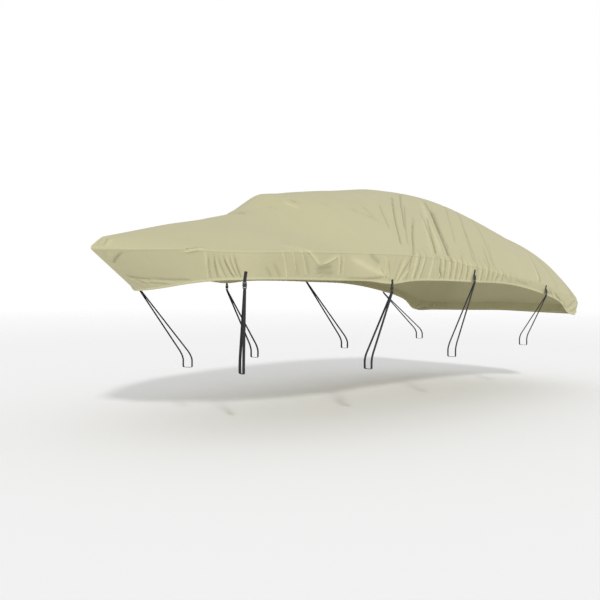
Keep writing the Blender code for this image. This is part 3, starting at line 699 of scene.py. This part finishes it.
def makeClothMaterial(name, lines):
    settings = clothFinish
    material, tree, shader = startMaterial(name, settings["colour"], settings["roughness"])
    place, mapUv, across, along = addPlaces(tree)

    # colour: slow fading, a finer mottle, the folds' mark of painted shade and painted highlight, and
    # lighter thread on the seams
    mottle = times(tree, addNoise(tree, place, settings["mottleScale"], 4.0), settings["mottleShare"])
    mottle = addMath(tree, "ADD", addNoise(tree, place, settings["fadeScale"]), mottle)
    faded = addMath(tree, "SUBTRACT", mottle, settings["fadeStart"])
    blend = addMix(tree, faded, (*settings["colour"], 1.0), (*settings["fadedColour"], 1.0))
    edge = addAttribute(tree, "edge")
    stitches = addMath(tree, "FRACT", addMath(tree, "DIVIDE", across, settings["stitchLength"]))
    dashes = addMath(tree, "LESS_THAN", stitches, settings["stitchShare"])
    onLine = 0.0
    for line in lines:
        apart = addMath(tree, "ABSOLUTE", addMath(tree, "SUBTRACT", edge, line))
        near = addMath(tree, "LESS_THAN", apart, settings["stitchWidth"] / 2)
        onLine = addMath(tree, "MAXIMUM", onLine, near)
    stitch = times(tree, dashes, onLine)
    # the mark scales the colour: painted shade in troughs and under the gunwale, painted highlight on ridges
    # and the hem's roll
    shadeShare = times(tree, addAttribute(tree, "shade"), settings["foldShadeAndHighlight"])
    shaded = addNode(tree, "VectorMath", {"operation": "SCALE"},
                     {"Vector": blend, "Scale": addMath(tree, "ADD", shadeShare, 1.0)})
    sewn = addMix(tree, stitch, shaded.outputs["Vector"], (*settings["threadColour"], 1.0))

    # relief: soft wrinkles, upright ones where the cloth is gathered, then the plain weave and stitches
    scale, depth, strength = settings["softWrinkles"]
    normal = addBump(tree, addNoise(tree, place, scale, 4.0, 0.6), depth, strength)
    scale, depth, strength = settings["gatherWrinkles"]
    stretch = (1.0, settings["gatherStretch"], 1.0)
    narrow = addNode(tree, "Mapping", None, {"Scale": stretch, "Vector": mapUv}).outputs[0]
    upright = times(tree, addNoise(tree, narrow, scale, 4.0, 0.6), addAttribute(tree, "gather"))
    normal = addBump(tree, upright, depth, strength, normal)
    scale, depth, strength = settings["fineWrinkles"]
    normal = addBump(tree, addNoise(tree, place, scale), depth, strength, normal)
    waves = 2 * math.pi / settings["weavePitch"]
    warp, weft = (addMath(tree, "SINE", times(tree, part, waves)) for part in (across, along))
    weave = times(tree, warp, weft)
    raised = times(tree, stitch, settings["stitchHeight"])
    normal = addBump(tree, addMath(tree, "ADD", weave, raised), settings["weaveDepth"], 0.5, normal)
    setInputs(tree, shader, {"Base Color": sewn, "Normal": normal, "Sheen Weight": settings["sheen"],
                             "Sheen Roughness": settings["sheenRoughness"],
                             "Specular IOR Level": settings["specular"]})
    return material


webbingFinish = {
    "colour": (0.011, 0.011, 0.014),
    "wornColour": (0.021, 0.021, 0.025),
    "wearScale": 40.0,
    "roughness": 0.74,
    "sheen": 0.04,
    "ribPitch": 0.0022,
    "ribSlant": 0.025,         # how far a rib would run down over the tape's whole width
    "ribDepth": 0.0003,
}


def makeWebbingMaterial():
    settings = webbingFinish
    material, tree, shader = startMaterial("black_webbing", settings["colour"], settings["roughness"])
    place, _, across, along = addPlaces(tree)
    worn = addMix(tree, addNoise(tree, place, settings["wearScale"], 4.0), (*settings["colour"], 1.0),
                  (*settings["wornColour"], 1.0))
    # the weave's slanting ribs turn at the middle of the tape, like a herringbone
    slant = addMath(tree, "ABSOLUTE", addMath(tree, "SUBTRACT", across, 0.5))
    slant = times(tree, slant, settings["ribSlant"])
    turns = 2 * math.pi / settings["ribPitch"]
    ribs = addMath(tree, "SINE", times(tree, addMath(tree, "ADD", along, slant), turns))
    normal = addBump(tree, ribs, settings["ribDepth"], 0.7)
    setInputs(tree, shader, {"Base Color": worn, "Normal": normal, "Sheen Weight": settings["sheen"]})
    return material


buckleFinish = {
    "colour": (0.016, 0.016, 0.018),
    "roughness": (0.36, 0.52),
    "wearScale": 60.0,
    "grainScale": 900.0,
    "grainDepth": 0.0001,
}


def makeBuckleMaterial():
    settings = buckleFinish
    material, tree, shader = startMaterial("moulded_nylon", settings["colour"], settings["roughness"][0])
    place = addNode(tree, "TexCoord").outputs["Object"]
    grain = addNoise(tree, place, settings["grainScale"], 2.0)
    normal = addBump(tree, grain, settings["grainDepth"], 0.35)
    smooth, rough = settings["roughness"]
    wear = addNoise(tree, place, settings["wearScale"])
    gloss = addNode(tree, "MapRange", None, {"To Min": smooth, "To Max": rough, "Value": wear})
    setInputs(tree, shader, {"Normal": normal, "Roughness": gloss.outputs["Result"]})
    return material


topCloth = makeClothMaterial("cover_cloth_top", clothFinish["stitchLines"])
skirtCloth = makeClothMaterial("cover_cloth_skirt", (clothFinish["hemStitch"],))
webbingMaterial = makeWebbingMaterial()
buckleMaterial = makeBuckleMaterial()
print("finishes made")

# ---- straps, tabs and buckles. Each strap hangs from a buckle as a long flat loop.
webbing = {
    "width": 0.025,
    "thickness": 0.0018,
    "edgePoints": 4,           # points round each rounded edge of the tape
    "spread": 0.0066,          # between the strands at the buckle's bar
    "straightEnd": 0.008,
    "loopWidth": 0.092,
    "loopHeight": 0.100,
    "loopCorner": 0.012,
    "cornerSteps": 6,
    "tabOverhang": 0.014,
    "tabSteps": 15,
    "tabTail": (0.004, 0.010),     # how far it goes back up behind the bar, in two steps
    "standOff": 0.009,         # a tab that leaves the cloth above the hem stands off it by this much
    "gap": 0.0003,
}
straps = (
    # number, run, footAft, footOut, footUp, degrees that the foot turns out towards the stern, then how
    # far down the skirt the tab starts, and how far above the hem it leaves the cloth
    (1, 0.92, 1.19, 0.412, -0.782, 21.0, 0.70, 0.0),
    (2, 2.28, 2.36, 0.810, -0.800, 8.0, 0.85, 0.0),
    (3, 3.52, 3.73, 0.780, -0.784, 0.0, 0.22, 0.076),
    (4, 4.95, 5.17, 0.780, -0.746, 0.0, 0.20, 0.064),
)
up3 = np.array((0.0, 0.0, 1.0))


def tapeSection():
    # closed outline of the tape: the top from right to left, then the bottom back
    half = webbing["thickness"] / 2
    flat = webbing["width"] / 2 - half
    angles = np.linspace(0, math.pi / 2, webbing["edgePoints"])
    right = np.stack((flat + half * np.cos(angles), half * np.sin(angles)), axis=-1)
    left = right[::-1] * (-1, 1)
    top = np.concatenate((right, left))
    return np.concatenate((top, top[::-1] * (1, -1)))


def makeTape(name, path, across):
    # the section carried along the path, its width held across it, with both ends closed
    section = tapeSection()
    count = len(section)
    tangent = unit(np.gradient(path, axis=0))
    across = unit(across - tangent * (tangent * across).sum(-1, keepdims=True))
    thick = unit(np.cross(tangent, across))
    points = path[:, None] + across[:, None] * section[None, :, :1] + thick[:, None] * section[None, :, 1:]
    ring = np.arange(count)
    rows = np.arange(len(path) - 1)[:, None] * count
    ahead = np.roll(ring, -1)
    faces = np.stack((rows + ring, rows + count + ring, rows + count + ahead, rows + ahead), axis=-1)
    first = np.arange(count // 2 - 1)
    cap = np.stack((first, first + 1, count - 2 - first, count - 1 - first), axis=-1)
    last = (len(path) - 1) * count
    faces = np.concatenate((faces.reshape(-1, 4), cap, last + cap[:, ::-1]))
    lengths = np.concatenate(([0.0], np.cumsum(np.linalg.norm(np.diff(path, axis=0), axis=-1))))
    width = section[:, 0] / webbing["width"] + 0.5
    uv = np.stack((np.tile(width, len(path)), np.repeat(lengths, count)), axis=-1)
    return meshFrom(name, points.reshape(-1, 3), faces, {"UVMap": uv}, webbingMaterial, weld=0)


def roundCorners(path, times):
    # cuts each corner of the path at a quarter and three quarters of its sides, and keeps the ends
    for _ in range(times):
        early = path[:-1] * 0.75 + path[1:] * 0.25
        late = path[:-1] * 0.25 + path[1:] * 0.75
        middle = np.stack((early, late), axis=1).reshape(-1, 3)
        path = np.concatenate((path[:1], middle, path[-1:]))
    return path


def tabFrame(run, side, tabTop, leavesUp):
    # the cloth and its normals down the middle of a tab, the tab's lower end, outward and aft
    columns = run + np.linspace(-webbing["width"], webbing["width"], 5)
    drop = heightsAt(columns)[1]
    gunwaleUp, hemUp = (float(smoothColumn(sections, column, run)) for column in (1, 2))
    depth = gunwaleUp - hemUp
    tabEnd = 1 - leavesUp / depth
    down = np.linspace(tabTop, tabEnd, webbing["tabSteps"])
    up = -down[:, None] * drop[None]
    outer, normals, _ = clothGrids(columns[None] + 0 * up, up, side)
    bare = bareSurface(columns[None] + 0 * up, up / drop[None], side)
    out = unit(gridNormals(bare, side)[-2, 2] * (1.0, 1.0, 0.0))
    standOff = webbing["standOff"] if leavesUp else 0.0
    foot = bare[-1, 2] * (1, 1, 0) + up3 * (bare[-1, 1:4, 2].min() - webbing["tabOverhang"] - webbing["gap"])
    foot = foot + out * (webbing["gap"] + webbing["thickness"] / 2 + standOff)
    aft = unit(bare[-1, 3] - bare[-1, 1])
    return outer[:, 2], normals[:, 2], foot, out, unit(aft * (1.0, 1.0, 0.0))


buckle = {
    "barRadius": 0.0021,
    "topBar": 0.0025,          # down from the buckle's top to the middle of each bar
    "slotBar": 0.0505,
    "barHalf": 0.0150,
    "slotDepth": 0.0095,
    "around": 28,
    "tubePoints": 9,
    "ringPower": 0.45,         # how square the two ring-shaped bars are: less is squarer
    "plates": (
        # across, down, half width, half height, thickness, squareness, bevel, pinch at the waist
        (0, 0.0205, 0.0172, 0.0125, 0.009, 6, 0.05, 0.06),
        (0, 0.0195, 0.0065, 0.0085, 0.0106, 3, 0.08, 0),
        (0, 0.037, 0.015, 0.005, 0.007, 6, 0.05, 0),
        (0.0148, 0.026, 0.003, 0.0105, 0.0058, 3, 0.1, 0),
        (-0.0148, 0.026, 0.003, 0.0105, 0.0058, 3, 0.1, 0),
    ),
}


def roundedTurn(power):
    # once round a rounded rectangle (a superellipse), as parts of its half width and half height
    turn = np.linspace(0, 2 * math.pi, buckle["around"] + 1)
    return [np.sign(part) * np.abs(part) ** power for part in (np.cos(turn), np.sin(turn))]


def plateShell(across, down, halfWidth, halfHeight, thickness, squareness, bevel, pinch):
    # rings of a rounded rectangle stacked through the thickness, drawn in at both faces
    w, d = roundedTurn(2 / squareness)
    inset = np.array((0.0, 0.55, 0.85, 0.96, 1.0, 1.0, 0.96, 0.85, 0.55, 0.0))
    inset = np.where(inset > 0.8, 1 - (1 - inset) * bevel / 0.15 * 3, inset)
    rise = np.array((-1.0, -1.0, -1.0, -0.93, -0.7, 0.7, 0.93, 1.0, 1.0, 1.0)) * thickness / 2
    waist = 1 - pinch * np.cos(d * math.pi / 2) ** 2
    x = across + halfWidth * inset[:, None] * (w * waist)[None]
    y = down + halfHeight * inset[:, None] * d[None]
    return np.stack((x, y, rise[:, None] + 0 * x), axis=-1)


def ringShell(down):
    # a round bar carried along a rounded rectangle
    w, d = (part[:, None] for part in roundedTurn(buckle["ringPower"]))
    tube = np.linspace(0, 2 * math.pi, buckle["tubePoints"])[None]
    reach = buckle["barRadius"] * np.cos(tube)
    x = (buckle["barHalf"] + reach) * w
    y = down + (buckle["slotDepth"] / 2 + reach) * d
    return np.stack((x, y, buckle["barRadius"] * np.sin(tube) + 0 * x), axis=-1)


def makeBuckle(name, top, across, out):
    shells = [plateShell(*row) for row in buckle["plates"]]
    slotHalf = buckle["slotDepth"] / 2
    shells += [ringShell(buckle["topBar"] + slotHalf), ringShell(buckle["slotBar"] - slotHalf)]
    points, faces, first = [], [], 0
    for grid in shells:
        rows, columns = grid.shape[:2]
        points.append(grid.reshape(-1, 3))
        faces.append(gridFaces(rows, columns, first, False))
        first += rows * columns
    local = np.concatenate(points)
    world = top + local[:, :1] * across - local[:, 1:2] * up3 + local[:, 2:] * out
    piece = meshFrom(name, world, np.concatenate(faces), {}, buckleMaterial, 35.0)
    work = bmesh.new()
    work.from_mesh(piece.data)
    bmesh.ops.recalc_face_normals(work, faces=work.faces)
    work.to_mesh(piece.data)
    work.free()
    return piece


def wrapPoints(centre, out, radius, fromAngle, toAngle, steps):
    # points round a bar, 0 degrees in front of it and 90 above it
    turn = np.radians(np.linspace(fromAngle, toAngle, steps))[:, None]
    return centre + radius * (np.cos(turn) * out + np.sin(turn) * up3)


def makeStrapSet(label, side, number, run, footAft, footOut, footUp, footTurn, tabTop, leavesUp):
    clothLine, clothNormals, top, out, aft = tabFrame(run, side, tabTop, leavesUp)
    barWrap = webbing["spread"] / 2
    # tab: down the cloth, round the buckle's top bar and a little way back up behind
    sewn = clothLine + clothNormals * (webbing["gap"] + webbing["thickness"] / 2)
    barCentre = top - up3 * buckle["topBar"]
    behind = barCentre - out * barWrap + up3 * np.array(webbing["tabTail"])[:, None]
    tabPath = np.concatenate((sewn, wrapPoints(barCentre, out, barWrap, 10, -190, 10), behind))
    tab = makeTape(f"{label}_tab_{number}_webbing", tabPath, aft + 0 * tabPath)
    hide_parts(f"{label}_tab_{number}")
    piece = makeBuckle(f"{label}_buckle_{number}_moulded", top, aft, out)
    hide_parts(f"{label}_buckle_{number}")

    # strap: over the slot's bar, down the outer strand, round the foot and back up the inner strand
    foot = np.array((footAft + bowTip, side * footOut, footUp - crownUp))
    turn = math.radians(footTurn)
    inward = np.array((math.sin(turn), -side * math.cos(turn), 0.0))
    lengthwise = np.array((math.cos(turn), side * math.sin(turn), 0.0))
    slotBar = top - up3 * buckle["slotBar"]
    corner = webbing["loopCorner"]
    steps = webbing["cornerSteps"]
    outerTop = foot + up3 * webbing["loopHeight"]
    innerTop = outerTop + inward * webbing["loopWidth"]
    leaving = slotBar + out * barWrap - up3 * webbing["straightEnd"]
    arriving = slotBar - out * barWrap - up3 * webbing["straightEnd"]
    nearCorner = foot + (inward + up3) * corner
    farCorner = foot + inward * (webbing["loopWidth"] - corner) + up3 * corner
    part = np.linspace(0, 1, 6)[:, None]
    route = np.concatenate((
        wrapPoints(slotBar, out, barWrap, 70, 0, 5),
        leaving + (outerTop - leaving) * part,
        wrapPoints(nearCorner, inward, corner, 180, 270, steps),
        wrapPoints(farCorner, inward, corner, 270, 360, steps),
        innerTop + (arriving - innerTop) * part,
        wrapPoints(slotBar, out, barWrap, 180, 110, 5),
    ))
    route = roundCorners(route, 2)
    strap = makeTape(f"{label}_strap_{number}_webbing", route, lengthwise + 0 * route)
    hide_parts(f"{label}_strap_{number}")
    return tab


sides = {"port": -1.0, "starboard": 1.0}
tabs = {label: [makeStrapSet(label, side, *row) for row in straps] for label, side in sides.items()}
print("straps, tabs and buckles made:", len(straps) * 2)

# ---- the top panel. Its lower edge laps over the skirts and is topstitched there.
topPanel = {
    "stops": ((0.24, 0.008), (0.7, 0.024), (1.1, 0.03), (1.58, 0.022), (1.92, 0.008), (2.26, 0.011),
              (2.6, 0.0032), (4, 0.0052), (4.7, 0.012), (4.9, 0.005), (5.6, 0.02),
              (6.15, 0.026), (runEnd, 0.045)),
    "rows": 50,
    "rowPower": 1.4,           # rows lie closer towards the gunwale
    "innerStep": 4,            # the inner face has a row for each of so many outer ones
    "leanPlaces": (1.95, 2.37, 2.46, 2.54, 2.84, 3.09, 3.25, 3.49, 3.90, 4.82, 5.22, 5.61, 6.20),
    "leans": (0.0, 0.84, 0.97, 1.00, 0.78, 0.62, 0.70, 0.80, 0.68, 0.90, 0.60, 0.35, 0.0),
    "leanTop": 0.65,           # above this share of the climb all columns lean alike
    "commonLean": 0.60,
    "commonPlaces": (1.60, 2.30, 4.90, 6.20),
    "lap": (0.004, 0.008, 0.012),
    "lapFade": (-0.002, 0.010),    # it stands proud up to here, and less over this much above
    "lapProud": 0.0020,        # less where the gunwale's edge is lost in the gathers
    "lapPlaces": (2.60, 3.40, 4.20, 5.20),
    "lapShares": (1.0, 0.75, 0.40, 0.30),
    "thinEdge": (0.0008, 0.02),    # the inner face is this much closer, up to this height
    "flat": (3.25, 6.35),
    "gatherPlaces": (0.62, 0.66, 0.90, 0.95, 2.35, 2.60, 4.15, 4.60, 4.85, 5.05, 5.80, 6.10),
    "gatherShares": (0.0, 0.35, 0.35, 0.0, 0.0, 1.0, 1.0, 0.0, 0.0, 0.7, 0.7, 0.0),
    "gatherReach": 0.30,       # how far it spreads into the top
    "gatherAbove": 0.8,        # and how strong it is there
}


def gatherMark(run, up):
    # strongest in the gathered skirt, less in the cloth above it, at the quarter and in the first pleats
    along = np.interp(run, topPanel["gatherPlaces"], topPanel["gatherShares"])
    above = np.exp(-(up / topPanel["gatherReach"]) ** 2) * topPanel["gatherAbove"]
    return along * np.where(up > 0, above, 1.0)


def leanedRun(columns, climb):
    # the grid's columns lean aft as they rise, in line with the creases there
    rib = heightsAt(columns)[0]
    climb = climb[:, None]
    lean = np.interp(columns, topPanel["leanPlaces"], topPanel["leans"])
    common = topPanel["commonLean"] * np.interp(columns, topPanel["commonPlaces"], (0, 1, 1, 0))
    low = np.minimum(climb, topPanel["leanTop"])
    return np.minimum(columns + rib * (lean * low + common * (climb - low)), runEnd)


def makeTopPanel():
    columns = spread(topPanel["stops"])
    climb = np.linspace(1, 0, topPanel["rows"]) ** topPanel["rowPower"]
    lap = -np.array(topPanel["lap"])
    upper = leanedRun(columns, climb)
    run = np.concatenate((upper, columns + 0 * lap[:, None]))
    up = np.concatenate((climb[:, None] * heightsAt(upper)[0], lap[:, None] + 0 * columns))
    begin, fade = topPanel["lapFade"]
    proud = topPanel["lapProud"] * np.exp(-(np.clip(up - begin, 0, None) / fade) ** 2)
    proud = proud * np.interp(run, topPanel["lapPlaces"], topPanel["lapShares"])
    rows, count = up.shape
    inside = np.unique(np.append(np.arange(0, rows, topPanel["innerStep"]), (rows - 2, rows - 1)))
    thinner, below = topPanel["thinEdge"]
    thickness = cover["cloth"] - thinner * (up < below)
    faces, points, first = [], [], 0
    grids = {"UVMap": np.stack((run, up), axis=-1), "edge": up - lap[-1], "gather": gatherMark(run, up)}
    shades = []
    for side in sides.values():
        outer, normals, shade = clothGrids(run, up, side)
        normals = settleMiddle(normals, (np.s_[0], np.s_[:, 0], np.s_[:, -1]))
        outer = outer + normals * proud[..., None]
        inner = outer - normals * thickness[..., None]
        flip = side > 0
        total = rows * count
        faces.append(gridFaces(rows, count, first, flip))
        faces.append(gridFaces(len(inside), count, first + total, not flip))
        outerLine = first + (rows - 1) * count + np.arange(count)
        innerLine = first + total + (len(inside) - 1) * count + np.arange(count)
        faces.append(stripFaces(outerLine, innerLine, flip))
        points += [outer.reshape(-1, 3), inner[inside].reshape(-1, 3)]
        shades += [shade.ravel(), np.zeros(len(inside) * count)]
        first += total + len(inside) * count
    marks = {}
    for mark, grid in grids.items():
        oneSide = np.concatenate((grid, grid[inside]))
        marks[mark] = np.concatenate((oneSide, oneSide)).reshape(-1, *grid.shape[2:])
    marks["shade"] = np.concatenate(shades)
    panel = meshFrom("top_panel_cloth", np.concatenate(points), np.concatenate(faces), marks,
                     topCloth)
    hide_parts("top_panel")
    return panel


skirt = {
    "stops": ((0.24, 0.006), (0.6, 0.012), (0.96, 0.005), (1.06, 0.012), (1.76, 0.006), (2.04, 0.012),
              (4.2, 0.0046), (4.85, 0.012), (6.1, 0.009), (runEnd, 0.03)),
    "rows": 37,
    "hemRows": (0.022, 0.018, 0.0145, 0.0115, 0.009, 0.0065, 0.004, 0.0018, 0.0),
    "flat": (7.32, 0.40),
}


def makeSkirt(label, side):
    columns = spread(skirt["stops"])
    drop = heightsAt(columns)[1]
    hem = np.array(skirt["hemRows"])[:, None]
    body = np.linspace(0, 1, skirt["rows"])[:-1, None] * (drop[None] - hem[0])
    up = -np.concatenate((body, drop[None] - hem))
    run = columns[None] + 0 * up
    outer, normals, shade = clothGrids(run, up, side)
    normals = settleMiddle(normals, (np.s_[:, 0], np.s_[:, -1]))
    inner = outer - normals * cover["cloth"]
    rows, count = up.shape
    total = rows * count
    ids = np.arange(total).reshape(rows, count)
    flip = side > 0
    faces = [gridFaces(rows, count, 0, flip), gridFaces(rows, count, total, not flip)]
    for line, turned in ((ids[0], not flip), (ids[-1], flip), (ids[:, 0], flip), (ids[:, -1], not flip)):
        faces.append(stripFaces(line, total + line, turned))
    points = np.concatenate((outer.reshape(-1, 3), inner.reshape(-1, 3)))
    uv = np.tile(np.stack((run, up), axis=-1).reshape(-1, 2), (2, 1))
    marks = {"UVMap": uv, "edge": np.tile((up + drop[None]).ravel(), 2),
             "gather": np.tile(gatherMark(run, up).ravel(), 2),
             "shade": np.concatenate((shade.ravel(), 0 * shade.ravel()))}
    piece = meshFrom(f"{label}_skirt_cloth", points, np.concatenate(faces), marks, skirtCloth)
    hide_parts(f"{label}_skirt")
    return piece


panel = makeTopPanel()
for label, side in sides.items():
    piece = makeSkirt(label, side)
print("cloth made:", len(panel.data.polygons), "faces in the top,", len(piece.data.polygons), "in a skirt")

# ---- floor and light
studio = {
    "floorColour": (0.94, 0.94, 0.94),
    "floorRoughness": 0.9,
    "floorRadius": 30.0,
    "floorPoints": 96,
    "floorFade": (9.0, 27.0),  # the floor fades into the white between these distances
    "backdrop": 1.0,           # what the camera sees behind the floor
    "worldStrength": 0.70,     # what lights the cloth from all round
    "keyFrom": (-0.46, -0.70, 0.50),
    "keyStrength": 1.55,
    "keyAngle": 5.0,
}


def makeFloor():
    turn = np.linspace(0, 2 * math.pi, studio["floorPoints"], endpoint=False)
    ring = studio["floorRadius"] * np.stack((np.cos(turn), np.sin(turn), 0 * turn), axis=-1)
    ring = ring + (0.0, 0.0, -crownUp - camera["groundBelow"])
    mesh = bpy.data.meshes.new("floor")
    mesh.from_pydata(ring.tolist(), [], [list(range(len(turn)))])
    material, tree, shader = startMaterial("pale_floor", studio["floorColour"], studio["floorRoughness"])
    place = addNode(tree, "TexCoord").outputs["Object"]
    distance = addNode(tree, "VectorMath", {"operation": "LENGTH"}, {0: place}).outputs["Value"]
    near, far = studio["floorFade"]
    fade = addNode(tree, "MapRange", None, {"From Min": near, "From Max": far, "Value": distance})
    clear = addNode(tree, "BsdfTransparent").outputs[0]
    mixed = addNode(tree, "MixShader", None,
                    {0: fade.outputs["Result"], 1: shader.outputs[0], 2: clear}).outputs[0]
    setInputs(tree, tree.nodes["Material Output"], {"Surface": mixed})
    mesh.materials.append(material)
    floor = addObject("floor", mesh)


def makeStudio():
    makeFloor()
    light = bpy.data.lights.new("key", "SUN")
    light.energy = studio["keyStrength"]
    light.angle = math.radians(studio["keyAngle"])
    lamp = addObject("key", light)
    lamp.rotation_euler = (-Vector(studio["keyFrom"])).to_track_quat("-Z", "Y").to_euler()
    world = bpy.data.worlds.new("studio")
    world.use_nodes = True
    tree = world.node_tree
    seen = addNode(tree, "LightPath").outputs["Is Camera Ray"]
    strength = addNode(tree, "MapRange", None, {
        "To Min": studio["worldStrength"], "To Max": studio["backdrop"], "Value": seen}).outputs["Result"]
    setInputs(tree, tree.nodes["Background"], {"Color": (1.0, 1.0, 1.0, 1.0), "Strength": strength})
    scene.world = world
    scene.view_settings.view_transform = "Standard"


makeStudio()
print("studio made")
